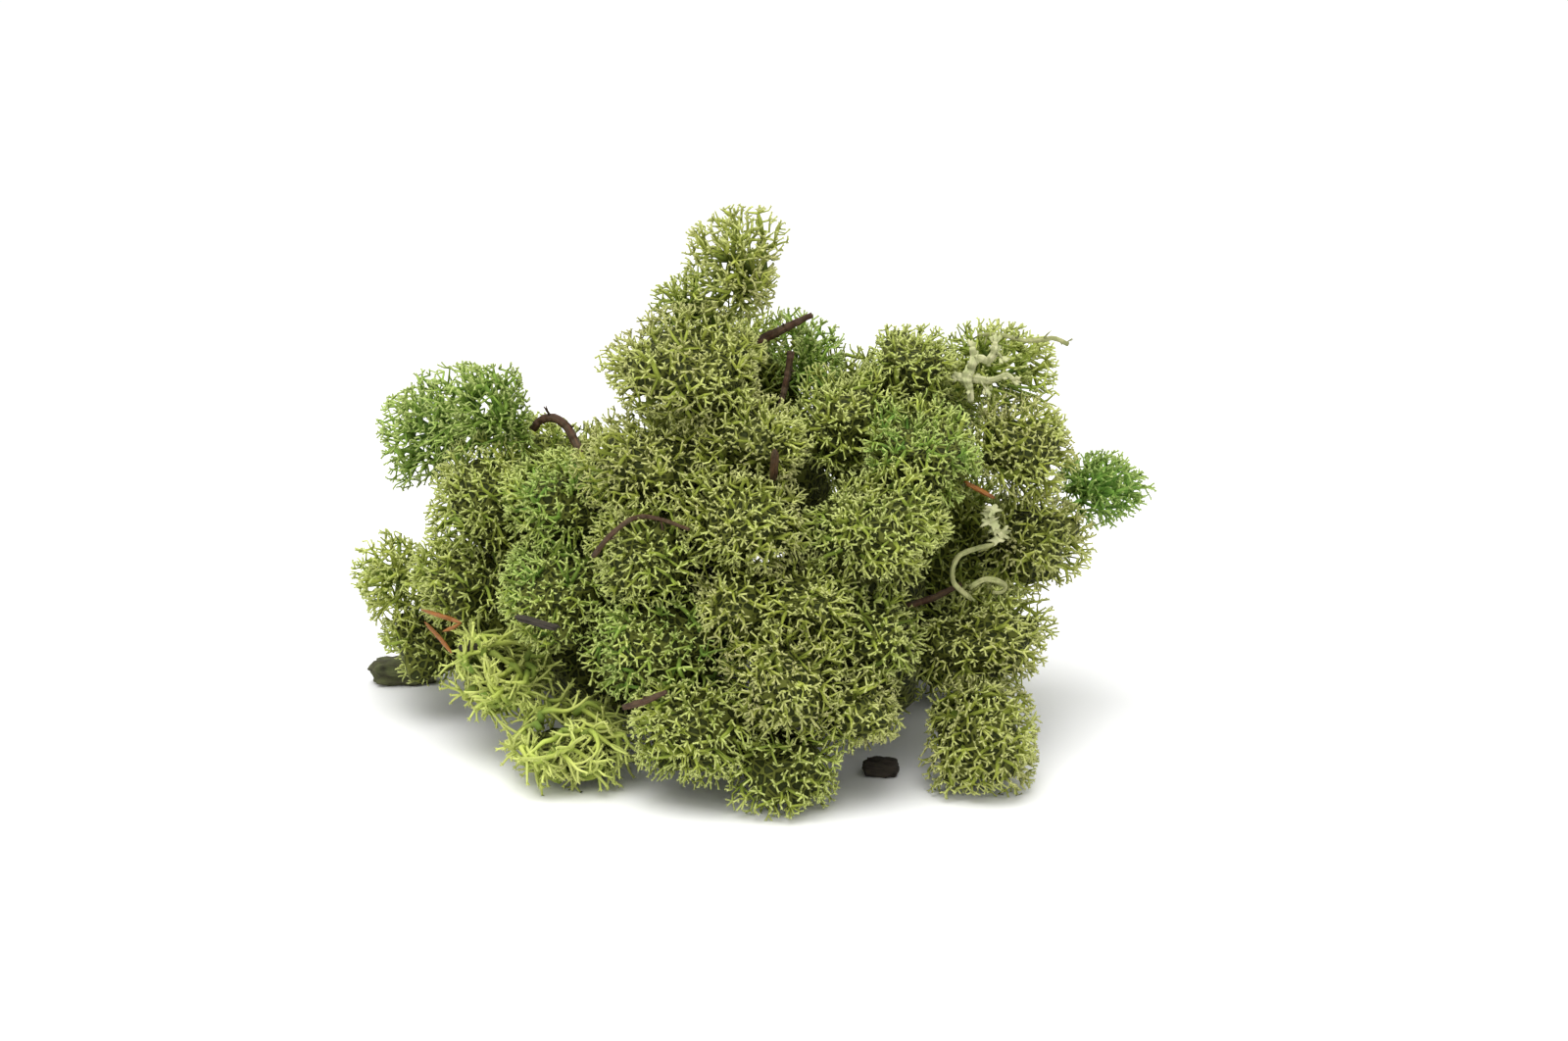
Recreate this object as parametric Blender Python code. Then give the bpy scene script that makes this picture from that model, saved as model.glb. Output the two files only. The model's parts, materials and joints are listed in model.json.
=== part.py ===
"""A heap of preserved reindeer lichen, with the forest litter that is caught in it.

The heap is a pile of rounded lichen heads. Each head is a lobed cushion that grows from its own
centre until it meets a neighbour, a piece of litter or the surface that the heap lies on.
Lengths are written in millimetres and turned into metres with MM. X runs to the right, Y to the
back and Z up. The heap stands on Z = 0, centred on the origin.
"""

import math
import random

import bmesh
import bpy
from mathutils import Vector

MM = 0.001

# How the heads meet
CLEARANCE = 0.3 * MM
SMALLEST_SHARE = 0.25
FLOOR = 0.0

# The lobes that make a head look like a cauliflower, as shares of the head's own reach
SQUARENESS = 2.15
LOBE_PLACE = 0.58
LOBE_SIZES = (0.40, 0.46)
LOBE_HEIGHT_SCATTER = 0.5
LOBE_TURN_SCATTER = 0.3
BETWEEN_LOBES = 0.8
SOFTENING = 0.35
GOLDEN_TURN = math.pi * (3.0 - math.sqrt(5.0))

# Cuts across a cube's face before it is rounded
DENSE_CUTS = 4
FINE_CUTS = 3
PLAIN_CUTS = 2

# Litter
TWIG_BEVEL_STEPS = 1
BEND_ALLOWANCE = 1.15
FLAKE_CUTS = 2
FLAKE_ROUGHNESS = 0.14
ANTLER_THICKNESS = 0.9 * MM

# Finishes: colour, roughness
FINISHES = {
    "lichen_sage": ((0.25, 0.33, 0.10), 0.9),
    "lichen_gold": ((0.35, 0.42, 0.10), 0.9),
    "lichen_green": ((0.10, 0.26, 0.05), 0.9),
    "lichen_pale": ((0.60, 0.58, 0.32), 0.85),
    "twig_brown": ((0.11, 0.055, 0.03), 0.75),
    "needle_orange": ((0.38, 0.13, 0.03), 0.6),
    "bark_dark": ((0.035, 0.028, 0.025), 0.85),
}

# Lichen heads: name, finish, lobes, cuts, centre and half sizes along X, Y, Z in millimetres
HEADS = [
    ("crown", "lichen_sage", 8, FINE_CUTS, (-1.5, 2, 82), (8.5, 10, 10)),
    ("crown_side", "lichen_sage", 6, PLAIN_CUTS, (-9.5, 2, 74.5), (7.5, 9.5, 6.5)),
    ("high_head", "lichen_sage", 9, FINE_CUTS, (-10.5, -10, 66), (15.5, 14.5, 9.5)),
    ("saddle", "lichen_green", 6, PLAIN_CUTS, (9, 17, 62), (7.5, 11, 8)),
    ("ear_back", "lichen_green", 8, FINE_CUTS, (-57.5, 25, 46.5), (8.7, 11, 11)),
    ("ear_front", "lichen_green", 8, FINE_CUTS, (-46, 14, 53), (9, 12, 10.2)),
    ("shoulder_left", "lichen_sage", 8, FINE_CUTS, (-46, 4, 40), (10.5, 14, 10)),
    ("brow_left", "lichen_sage", 8, FINE_CUTS, (-32, -7, 43), (9.5, 14, 9)),
    ("chest_left", "lichen_sage", 9, FINE_CUTS, (-17, -15, 51.5), (11.5, 15, 9.5)),
    ("collar", "lichen_sage", 8, FINE_CUTS, (0.5, -16, 55), (9.5, 14, 8)),
    ("chest", "lichen_sage", 9, FINE_CUTS, (-1, -24, 44.5), (11.5, 15, 8.5)),
    ("rib_left", "lichen_sage", 8, FINE_CUTS, (-17, -23, 38.5), (10, 14, 8.5)),
    ("flank_left", "lichen_sage", 8, FINE_CUTS, (-32, -16, 30), (10.5, 14, 8.5)),
    ("far_left", "lichen_sage", 6, PLAIN_CUTS, (-62, 10, 24), (8.2, 11, 8.5)),
    ("hip_left", "lichen_sage", 8, FINE_CUTS, (-49.5, 0, 27), (9.5, 13, 8)),
    ("heel_left", "lichen_sage", 6, PLAIN_CUTS, (-57, 9, 11.5), (9, 13, 10)),
    ("gold_upper", "lichen_gold", 8, FINE_CUTS, (-41.5, -14, 14.5), (12, 14, 10)),
    ("gold_lower", "lichen_gold", 9, FINE_CUTS, (-29.5, -25, 6), (15, 15, 9.5)),
    ("belly_left", "lichen_sage", 9, FINE_CUTS, (-14, -26, 24), (13.5, 14, 10)),
    ("belly_mid", "lichen_sage", 6, PLAIN_CUTS, (-2, -29, 31.5), (8.5, 13, 7.5)),
    ("belly_right", "lichen_sage", 7, PLAIN_CUTS, (10, -30, 32), (8.5, 13, 7)),
    ("front_left", "lichen_sage", 8, FINE_CUTS, (-8.5, -35, 12.5), (12, 13.5, 10.5)),
    ("front_top", "lichen_sage", 8, FINE_CUTS, (6, -39, 21.5), (9.5, 12.5, 8)),
    ("front_low", "lichen_sage", 8, FINE_CUTS, (6, -37.5, 5.5), (10, 12.5, 9.5)),
    ("front_right", "lichen_sage", 7, PLAIN_CUTS, (18.5, -35, 15.5), (7.5, 11.5, 7.5)),
    ("knee_right", "lichen_sage", 7, PLAIN_CUTS, (20.5, -27, 25.5), (8, 13, 7)),
    ("hip_right", "lichen_sage", 9, FINE_CUTS, (39, -16, 21.5), (14, 15, 8)),
    ("foot_right", "lichen_sage", 8, FINE_CUTS, (38, -28.5, 7.5), (11, 15, 11.5)),
    ("dome_right", "lichen_sage", 9, FINE_CUTS, (21.5, -23, 42.5), (12.5, 15, 9.5)),
    ("cheek_right", "lichen_sage", 8, FINE_CUTS, (29, -14, 52.5), (10.5, 15, 8.5)),
    ("inner_right", "lichen_sage", 8, FINE_CUTS, (16.5, -4, 56.5), (9.5, 14, 8.5)),
    ("top_right", "lichen_sage", 8, FINE_CUTS, (27, 4, 64), (8.5, 12.5, 7.5)),
    ("top_far_right", "lichen_sage", 8, FINE_CUTS, (43.5, 10, 62.5), (9.5, 12, 8.3)),
    ("head_right", "lichen_sage", 8, FINE_CUTS, (46, -4, 51.5), (10, 14, 8.5)),
    ("far_right", "lichen_green", 8, FINE_CUTS, (60.5, 10, 41), (9, 11, 7)),
    ("flank_right", "lichen_sage", 9, FINE_CUTS, (48.5, -3, 35), (10.5, 14.5, 8.7)),
    ("back_high", "lichen_sage", 12, DENSE_CUTS, (-5, 22, 57), (16, 15, 14)),
    ("back_left_high", "lichen_sage", 12, DENSE_CUTS, (-33, 27, 36.5), (16, 16, 14)),
    ("back_left_low", "lichen_sage", 12, DENSE_CUTS, (-45, 30, 11.5), (18, 18, 18)),
    ("back_mid", "lichen_sage", 12, DENSE_CUTS, (-6, 33, 38), (19, 16, 15)),
    ("back_low", "lichen_sage", 12, DENSE_CUTS, (-12, 36, 11.5), (20, 17, 19)),
    ("back_right_high", "lichen_sage", 12, DENSE_CUTS, (26, 25, 49), (19, 17, 16)),
    ("back_right_low", "lichen_sage", 12, DENSE_CUTS, (20, 35, 16), (18, 16, 23)),
    ("back_far_right", "lichen_sage", 12, DENSE_CUTS, (37.5, 18, 20), (13, 18, 27)),
    ("middle_left", "lichen_sage", 8, PLAIN_CUTS, (-22, 5, 16.5), (21, 19, 22)),
    ("middle_right", "lichen_sage", 8, PLAIN_CUTS, (16, 2, 16.5), (19, 20, 22)),
    ("middle_top", "lichen_sage", 8, PLAIN_CUTS, (-2, 4, 42), (19, 17, 14)),
]

# Twigs, needles and stems: name, finish, then each point's X, Y, Z and radius in millimetres
STICKS = [
    ("twig_slanted", "twig_brown",
     [(0.8, 5.0, 67.2, 0.85), (5.5, 6.5, 69.2, 0.75), (10.6, 8.0, 71.4, 0.5)]),
    ("twig_upright", "twig_brown",
     [(7.0, 7.0, 65.2, 0.65), (6.3, 4.5, 61.0, 0.6), (5.1, 1.5, 56.7, 0.45)]),
    ("root_arch", "twig_brown",
     [(-37.6, 13.0, 50.0, 0.7), (-36.2, 13.0, 51.6, 0.75), (-33.8, 12.0, 52.3, 0.8),
      (-31.6, 11.0, 51.0, 0.8), (-30.0, 9.0, 48.8, 0.75), (-28.7, 7.0, 46.6, 0.6)]),
    ("twig_centre", "twig_brown",
     [(-25.2, -28.0, 39.4, 0.45), (-22.2, -31.0, 43.8, 0.45), (-18.4, -29.5, 46.3, 0.4),
      (-14.3, -28.5, 45.8, 0.35), (-9.5, -33.5, 45.5, 0.3)]),
    ("needle_fork", "needle_orange",
     [(-55.5, -10.0, 24.7, 0.4), (-51.9, -12.0, 24.2, 0.5), (-48.3, -12.8, 23.2, 0.55),
      (-49.8, -12.6, 22.3, 0.5), (-51.7, -11.6, 21.3, 0.4)]),
    ("needle_single", "needle_orange",
     [(-55.2, -6.5, 21.4, 0.4), (-52.4, -10.2, 19.8, 0.5), (-50.0, -13.5, 18.0, 0.45)]),
    ("dry_stem", "lichen_pale",
     [(38.6, 5.0, 68.6, 0.3), (42.1, 4.5, 68.8, 0.35), (46.1, 4.5, 67.8, 0.35),
      (49.1, 5.0, 67.7, 0.4), (51.4, 5.5, 67.9, 0.4), (54.0, 6.0, 66.8, 0.4)]),
    ("strap_stem", "lichen_pale",
     [(40.6, -13.5, 37.0, 0.5), (37.6, -17.0, 37.4, 0.5), (34.8, -19.0, 36.8, 0.55),
      (33.7, -20.0, 35.0, 0.6), (33.8, -20.0, 32.7, 0.6), (35.0, -19.5, 31.0, 0.6),
      (36.9, -18.5, 29.2, 0.55)]),
]

# Chips and fragments: name, finish, the two ends of the long axis, half width, half thickness
FLAKES = [
    ("bark_sliver", "bark_dark", (-38.1, -28.0, 29.1), (-30.6, -31.4, 28.0), 0.9, 0.55),
    ("bark_rear", "bark_dark", (-68.5, 25.0, 2.2), (-56.0, 26.5, 1.9), 3.6, 2.4),
    ("bark_floor", "bark_dark", (18.8, -23.0, 1.5), (25.2, -24.0, 1.3), 2.1, 1.5),
    ("frill_lichen", "lichen_pale", (40.0, -13.8, 43.2), (42.0, -13.0, 38.0), 2.2, 0.9),
]

# The cream fragment: where its arms leave it, and each arm's tip, as X and Z from that place
ANTLER_PLACE = (37.6, 0.2, 63.0)
ANTLER_ARMS = [(7.0, -0.9), (4.2, 1.3), (3.8, 5.0), (0.2, 4.3), (-0.7, -5.0), (3.0, -2.8)]
ANTLER_ARM_HALF_WIDTH = 0.55
ANTLER_CROTCH = 1.3
ANTLER_ARM_REACH = 0.9


def vector_mm(point):
    """A point written in millimetres, in metres."""
    return Vector(point) * MM


def clear_scene():
    """Remove whatever the scene holds."""
    for old in list(bpy.data.objects):
        bpy.data.objects.remove(old, do_unlink=True)


def make_materials():
    """One Principled material for each finish."""
    materials = {}
    for name, (colour, roughness) in FINISHES.items():
        material = bpy.data.materials.new(name)
        material.use_nodes = True
        shader = material.node_tree.nodes["Principled BSDF"]
        shader.inputs["Base Color"].default_value = (*colour, 1.0)
        shader.inputs["Roughness"].default_value = roughness
        shader.inputs["Metallic"].default_value = 0.0
        materials[name] = material
    return materials


class Head:
    """One lichen head: a cushion with lobes, which its neighbours press flat."""

    def __init__(self, name, finish, lobe_count, cuts, centre, half):
        self.name = name
        self.finish = finish
        self.cuts = cuts
        self.centre = vector_mm(centre)
        self.half = vector_mm(half)
        self.lobes = make_lobes(name, lobe_count)
        self.walls = []

    def support(self, direction):
        """How far the cushion without its lobes reaches along a unit direction."""
        dual = SQUARENESS / (SQUARENESS - 1.0)
        total = sum(abs(self.half[i] * direction[i]) ** dual for i in range(3))
        return total ** (1.0 / dual)

    def surface_point(self, direction):
        """The surface point of a unit sphere's direction, stretched to the head's half sizes."""
        square = sum(abs(direction[i]) ** SQUARENESS for i in range(3)) ** (-1.0 / SQUARENESS)
        reach = square * lobed_reach(direction, self.lobes)
        return Vector([direction[i] * reach * self.half[i] for i in range(3)])

    def pressed(self, point):
        """A surface point, pulled back towards the centre until it clears every wall."""
        keep = 1.0
        for normal, room in self.walls:
            height = point.dot(normal)
            if height > room:
                keep = min(keep, room / height)
        return point * keep


def make_lobes(name, count):
    """One head's lobes, each a direction and a size, spread evenly with a little disorder."""
    draw = random.Random(name)
    first_turn = draw.uniform(0.0, 2.0 * math.pi)
    lobes = []
    for i in range(count):
        height_shift = draw.uniform(-LOBE_HEIGHT_SCATTER, LOBE_HEIGHT_SCATTER) / count
        height = 1.0 - (2.0 * i + 1.0) / count + height_shift
        turn_shift = draw.uniform(-LOBE_TURN_SCATTER, LOBE_TURN_SCATTER)
        turn = first_turn + i * GOLDEN_TURN + turn_shift
        flat = math.sqrt(1.0 - height * height)
        direction = Vector((flat * math.cos(turn), flat * math.sin(turn), height))
        lobes.append((direction, draw.uniform(*LOBE_SIZES)))
    return lobes


def lobed_reach(direction, lobes):
    """The reach of a unit sphere of lobes: the outermost lobe in the way, or the gap between."""
    reach = BETWEEN_LOBES
    for lobe, size in lobes:
        along = direction.dot(lobe) * LOBE_PLACE
        inside = size ** 2 - LOBE_PLACE ** 2 + along ** 2
        if along > 0.0 and inside > 0.0:
            reach = max(reach, along + math.sqrt(inside))
    return reach


def press_heads_together(heads):
    """Give each pair of heads that would meet a flat wall between them."""
    for i, head in enumerate(heads):
        for other in heads[i + 1:]:
            offset = other.centre - head.centre
            distance = offset.length
            normal = offset / distance
            own = head.support(normal)
            theirs = other.support(normal)
            if own + theirs + CLEARANCE <= distance:
                continue
            share = (distance ** 2 + own ** 2 - theirs ** 2) / (2.0 * distance)
            share = max(share, SMALLEST_SHARE * own)
            share = min(share, distance - SMALLEST_SHARE * theirs)
            head.walls.append((normal, share - CLEARANCE / 2.0))
            other.walls.append((-normal, distance - share - CLEARANCE / 2.0))


def rest_on_floor(heads):
    """Flatten the heads that would reach below the surface."""
    for head in heads:
        head.walls.append((Vector((0.0, 0.0, -1.0)), head.centre.z - FLOOR))


def make_room_for(litter, heads):
    """Press each head back from every stretch of litter, which is two points with radii."""
    for start, start_radius, end, end_radius in litter:
        for head in heads:
            run = end - start
            along = (head.centre - start).dot(run) / run.length_squared
            nearest = start + run * min(1.0, max(0.0, along))
            offset = nearest - head.centre
            normal = offset.normalized()
            start_room = (start - head.centre).dot(normal) - start_radius
            end_room = (end - head.centre).dot(normal) - end_radius
            room = min(start_room, end_room) - CLEARANCE
            if room < head.support(normal):
                head.walls.append((normal, room))


def rounded_cube(cuts):
    """A bmesh sphere of radius 1 whose faces are spread evenly."""
    shape = bmesh.new()
    bmesh.ops.create_cube(shape, size=2.0)
    bmesh.ops.subdivide_edges(shape, edges=shape.edges[:], cuts=cuts, use_grid_fill=True)
    for vertex in shape.verts:
        vertex.co.normalize()
    return shape


def add_mesh_object(name, shape, location, material, collection):
    """Turn a bmesh into a smooth object of the collection."""
    mesh = bpy.data.meshes.new(name)
    bmesh.ops.recalc_face_normals(shape, faces=shape.faces[:])
    shape.to_mesh(mesh)
    shape.free()
    mesh.shade_smooth()
    mesh.materials.append(material)
    made = bpy.data.objects.new(name, mesh)
    made.location = location
    collection.objects.link(made)
    return made


def add_head(head, materials, collection):
    """Model one head from its centre outwards."""
    shape = rounded_cube(head.cuts)
    for vertex in shape.verts:
        vertex.co = head.pressed(head.surface_point(vertex.co.normalized()))
    bmesh.ops.smooth_vert(
        shape, verts=shape.verts[:], factor=SOFTENING,
        use_axis_x=True, use_axis_y=True, use_axis_z=True,
    )
    return add_mesh_object(
        "tuft_" + head.name, shape, head.centre, materials[head.finish], collection
    )


def add_stick(name, points, material, collection):
    """A twig, needle or stem: a tapered curve with filled ends."""
    curve = bpy.data.curves.new(name, "CURVE")
    curve.dimensions = "3D"
    curve.bevel_depth = MM
    curve.bevel_resolution = TWIG_BEVEL_STEPS
    curve.use_fill_caps = True
    spline = curve.splines.new("POLY")
    spline.points.add(len(points) - 1)
    for place, (x, y, z, radius) in zip(spline.points, points):
        place.co = (*vector_mm((x, y, z)), 1.0)
        place.radius = radius
    curve.materials.append(material)
    made = bpy.data.objects.new(name, curve)
    collection.objects.link(made)
    return made


def stick_stretches(points):
    """The room that a stick takes, as a stretch between each pair of points."""
    stretches = []
    for first, second in zip(points, points[1:]):
        stretches.append((
            vector_mm(first[:3]),
            first[3] * BEND_ALLOWANCE * MM,
            vector_mm(second[:3]),
            second[3] * BEND_ALLOWANCE * MM,
        ))
    return stretches


def add_flake(name, start, end, half_width, half_thickness, material, collection):
    """A chip of bark or lichen: a flattened, uneven lozenge lying along its long axis."""
    draw = random.Random(name)
    first = vector_mm(start)
    last = vector_mm(end)
    long_axis = (last - first).normalized()
    side_axis = Vector((0.0, 0.0, 1.0)).cross(long_axis).normalized()
    up_axis = long_axis.cross(side_axis)
    half_length = (last - first).length / 2.0
    shape = rounded_cube(FLAKE_CUTS)
    for vertex in shape.verts:
        uneven = 1.0 - FLAKE_ROUGHNESS * draw.random()
        along, across, out = vertex.co * uneven
        vertex.co = (
            long_axis * (along * half_length)
            + side_axis * (across * half_width * MM)
            + up_axis * (out * half_thickness * MM)
        )
    return add_mesh_object(name, shape, (first + last) / 2.0, material, collection)


def flake_stretches(start, end, half_width, half_thickness):
    """The room that a chip takes: a lane along its long axis, as wide as its thick middle."""
    first = vector_mm(start)
    last = vector_mm(end)
    wide = max(half_width, half_thickness) * MM
    inset = (last - first).normalized() * wide
    return [(first + inset, wide, last - inset, wide)]


def antler_outline():
    """The outline of the cream fragment: out along each arm and back to the crotch beside it."""
    arms = sorted(ANTLER_ARMS, key=lambda tip: math.atan2(tip[1], tip[0]))
    outline = []
    for i, (x, z) in enumerate(arms):
        length = math.hypot(x, z)
        across_x = -z / length * ANTLER_ARM_HALF_WIDTH
        across_z = x / length * ANTLER_ARM_HALF_WIDTH
        near = ANTLER_ARM_REACH
        outline.append((x * near - across_x, z * near - across_z))
        outline.append((x, z))
        outline.append((x * near + across_x, z * near + across_z))
        heading = math.atan2(z, x)
        next_x, next_z = arms[(i + 1) % len(arms)]
        opening = (math.atan2(next_z, next_x) - heading) % (2.0 * math.pi)
        middle = heading + opening / 2.0
        outline.append((ANTLER_CROTCH * math.cos(middle), ANTLER_CROTCH * math.sin(middle)))
    return outline


def add_antler(material, collection):
    """The cream fragment: a flat branching outline, standing upright."""
    curve = bpy.data.curves.new("antler_lichen", "CURVE")
    curve.dimensions = "2D"
    curve.fill_mode = "BOTH"
    curve.extrude = ANTLER_THICKNESS / 2.0
    spline = curve.splines.new("POLY")
    outline = antler_outline()
    spline.points.add(len(outline) - 1)
    for place, (x, z) in zip(spline.points, outline):
        place.co = (x * MM, z * MM, 0.0, 1.0)
    spline.use_cyclic_u = True
    curve.materials.append(material)
    made = bpy.data.objects.new("antler_lichen", curve)
    made.location = vector_mm(ANTLER_PLACE)
    made.rotation_euler = (math.radians(90.0), 0.0, 0.0)
    collection.objects.link(made)
    return made


def antler_stretches():
    """The room that the cream fragment takes: a lane along each arm."""
    place = vector_mm(ANTLER_PLACE)
    wide = max(ANTLER_ARM_HALF_WIDTH * MM, ANTLER_THICKNESS / 2.0) * BEND_ALLOWANCE
    middle = ANTLER_CROTCH * MM
    stretches = []
    for x, z in ANTLER_ARMS:
        stretches.append((place, middle, place + vector_mm((x, 0.0, z)), wide))
    return stretches


def centre_on_origin(made):
    """Hang every piece on one empty, and move that so the heap's footprint is centred."""
    heap = bpy.data.objects.new("heap", None)
    made[0].users_collection[0].objects.link(heap)
    bpy.context.view_layer.update()
    corners = [piece.matrix_world @ Vector(corner) for piece in made for corner in piece.bound_box]
    middle_x = (min(c.x for c in corners) + max(c.x for c in corners)) / 2.0
    middle_y = (min(c.y for c in corners) + max(c.y for c in corners)) / 2.0
    for piece in made:
        piece.parent = heap
    heap.location = (-middle_x, -middle_y, 0.0)


def main():
    """Model the heap."""
    clear_scene()
    materials = make_materials()
    collection = bpy.data.collections.new("preserved_reindeer_lichen")
    bpy.context.scene.collection.children.link(collection)

    litter = antler_stretches()
    for _, _, points in STICKS:
        litter += stick_stretches(points)
    for _, _, *sizes in FLAKES:
        litter += flake_stretches(*sizes)

    heads = [Head(*row) for row in HEADS]
    press_heads_together(heads)
    rest_on_floor(heads)
    make_room_for(litter, heads)

    made = [add_head(head, materials, collection) for head in heads]
    for name, finish, points in STICKS:
        made.append(add_stick(name, points, materials[finish], collection))
    for name, finish, *sizes in FLAKES:
        made.append(add_flake(name, *sizes, materials[finish], collection))
    made.append(add_antler(materials["lichen_pale"], collection))
    centre_on_origin(made)


main()
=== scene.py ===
import functools
import json
import math

import bmesh
import bpy
import numpy as np
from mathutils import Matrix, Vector, noise
from mathutils.bvhtree import BVHTree
from mathutils.kdtree import KDTree


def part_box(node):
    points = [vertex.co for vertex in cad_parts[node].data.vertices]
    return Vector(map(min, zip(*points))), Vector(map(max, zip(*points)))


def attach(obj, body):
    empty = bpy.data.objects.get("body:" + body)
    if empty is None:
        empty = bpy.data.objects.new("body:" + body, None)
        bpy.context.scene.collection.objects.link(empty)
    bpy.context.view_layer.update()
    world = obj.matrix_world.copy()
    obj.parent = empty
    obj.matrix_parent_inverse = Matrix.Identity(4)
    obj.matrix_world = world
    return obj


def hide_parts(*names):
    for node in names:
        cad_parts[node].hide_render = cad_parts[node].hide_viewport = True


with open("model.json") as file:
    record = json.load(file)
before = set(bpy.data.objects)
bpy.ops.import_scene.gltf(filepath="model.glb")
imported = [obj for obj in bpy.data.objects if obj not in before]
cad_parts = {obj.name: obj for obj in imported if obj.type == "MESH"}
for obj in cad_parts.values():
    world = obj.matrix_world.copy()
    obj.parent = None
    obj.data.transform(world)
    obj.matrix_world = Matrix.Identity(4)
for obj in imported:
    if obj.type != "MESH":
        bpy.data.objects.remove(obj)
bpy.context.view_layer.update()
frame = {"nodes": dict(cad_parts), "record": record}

MM = 0.001

# Camera, in millimetres
CAMERA_TARGET = (6.015, -0.713, 37.4)
CAMERA_DISTANCE = 630
CAMERA_ELEVATION = math.radians(16)
TO_CAMERA = np.array((0, -math.cos(CAMERA_ELEVATION), math.sin(CAMERA_ELEVATION)))
CAMERA_LENS = 85
SENSOR_WIDTH = 36

# Light and surroundings, in metres and watts
LIGHT_PLACE = (-0.1, -0.25, 0.8)
LIGHT_AIM = (0, 0, 0.03)
LIGHT_SIZE = 0.7
LIGHT_POWER = 7
FLOOR_COLOUR = (0.9, 0.9, 0.9, 1)

# Lichen tufts, in millimetres. A tip is the place where a stem ends in its prongs.
SEED = 11
HEAP_CORE = (0, 6, 30)
ROUNDING = 0.6
ROOT_DEPTH = 0.55
CROWN_ROOT_HEIGHT = 2
LOWEST = 0.05
BACK_TUFTS = "tuft_back"
MIDDLE_TUFTS = "tuft_middle"
COARSE_TUFTS = "tuft_gold"

# Tips: how far apart they are in front, behind and inside, and how much of them buried places have
TIP_SPACING = 0.94
BACK_SPACING = 1.22
MIDDLE_SPACING = 2.2
CANDIDATES = 5
FEWEST_CANDIDATES = 8
SKY_RAYS = 20
SKY_REACH = 60
SKY_SPACING = 1.8
SKY_SPREAD = 6.5
SKY_FOR_FULL = 0.22
SKY_WIDTH = 0.9
SKY_START = 0.15
FLOOR_REACH = 200
BURIED_SHARE = 0.07

# The outer form that the tips make: holes, lumps, and growth into gaps and towards other tufts
HOLES_PER_AREA = 0.02
HOLE_RADII = (0.7, 1.2)
UNEVENNESS = 2.6
UNEVEN_WIDTH = 7
SWELLING = 0.5
TIP_JITTER = 0.25
FILL_REACH = 7
FILL_FULL = 3.5
FILL_SHARE = 0.7
MERGE_REACH = 10
MOST_MERGE = 2.6
RAY_START = 0.1

# A second, looser layer of stems below the tips
INNER_DEPTH = 1.9
INNER_DEPTH_SCATTER = 0.8
INNER_SCATTER = 0.4
INNER_GAP = 1.3

# Branches, level by level from the tips inwards
LEVEL_SCALE = 0.8
LEVEL_SPACINGS = (1.9, 3.2, 5.4, 9.2, 15.0)
LEVEL_DEPTHS = (0.85, 1.9, 3.5, 6.2, 10.0)
LEVEL_SIDES = (3, 3, 3, 4, 4, 5)
LEVEL_AGES = (0.12, 0.26, 0.45, 0.64, 0.8, 0.92, 1.0)
LEVEL_JITTER = 0.16
FLORET_LEVEL = 3
DOMING = 0.3
MOST_DOMING = 1.6
MOST_DEPTH = 0.8
FIRST_CURVED_LEVEL = 2
INWARD_PULL = 0.8
JITTER_FREE_REACH = 3
TIP_RADIUS = 0.165
RADIUS_POWER = 3.0
THICKEST = 0.5
GATHERING = 0.85

# Prongs: fewest and most, length, spread in degrees, and the radius that they start from
FINE = {"prongs": (2, 4), "prong": 0.42, "spread": 54, "base": 0.17}
COARSE = {"prongs": (3, 5), "prong": 0.75, "spread": 44, "base": 0.19}
PRONG_SIDES = 3
PRONG_LENGTHS = (0.75, 1.2)
PRONG_TURN_SCATTER = 0.3
PRONG_LEAN_SCATTER = 10
FIRST_PRONG_LEAN = 0.5

# The coarse lichen, in millimetres and degrees: stems that fork again and again, level by level
COARSE_STARTS = 34
COARSE_START_DEPTH = 0.55
COARSE_START_TURN = 50
COARSE_FORKS = 6
COARSE_RADII = (0.9, 0.66, 0.5, 0.4, 0.31, 0.25, 0.18)
COARSE_SIDES = 5
COARSE_STEP = 1.7
COARSE_STEP_SCATTER = (0.75, 1.25)
COARSE_OUTWARD_LEVELS = 2
COARSE_LIFTS = (-0.15, 0.8)
COARSE_BEND = 24
COARSE_FORK_ANGLE = 62
COARSE_ANGLE_SCATTER = 8
COARSE_SECOND_STEM = 0.75
COARSE_REACH = (0.72, 0.98)
COARSE_AGE_POWER = 1.6

# The dark core inside a tuft, from its imported solid: coloured as the oldest growth and darkened further,
# it paints the shade deep in the heap. Its depth is a share of the tuft's smallest half size, or millimetres
CORE_SHARE = 0.4
BACK_CORE_DEPTH = 4.5
MIDDLE_CORE_DEPTH = 1.2
COARSE_CORE_DEPTH = 7.5
CLOSED_CORE_DEPTH = 2.2
CORE_ROUGHNESS = 1.6
CORE_SMOOTHING = 2
CORE_SKY = 0.1
CORE_GAP_SHARE = 0.35
WIDEST_CORE_GAP = 14

# Airy tufts, through which the background shows in small holes, have no dark core of painted shade
AIRY_TUFTS = (
    "tuft_crown", "tuft_crown_side", "tuft_saddle", "tuft_ear_back", "tuft_ear_front", "tuft_far_left",
    "tuft_far_right", "tuft_top_far_right",
)
AIRY_SWELLING = 1.1
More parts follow.
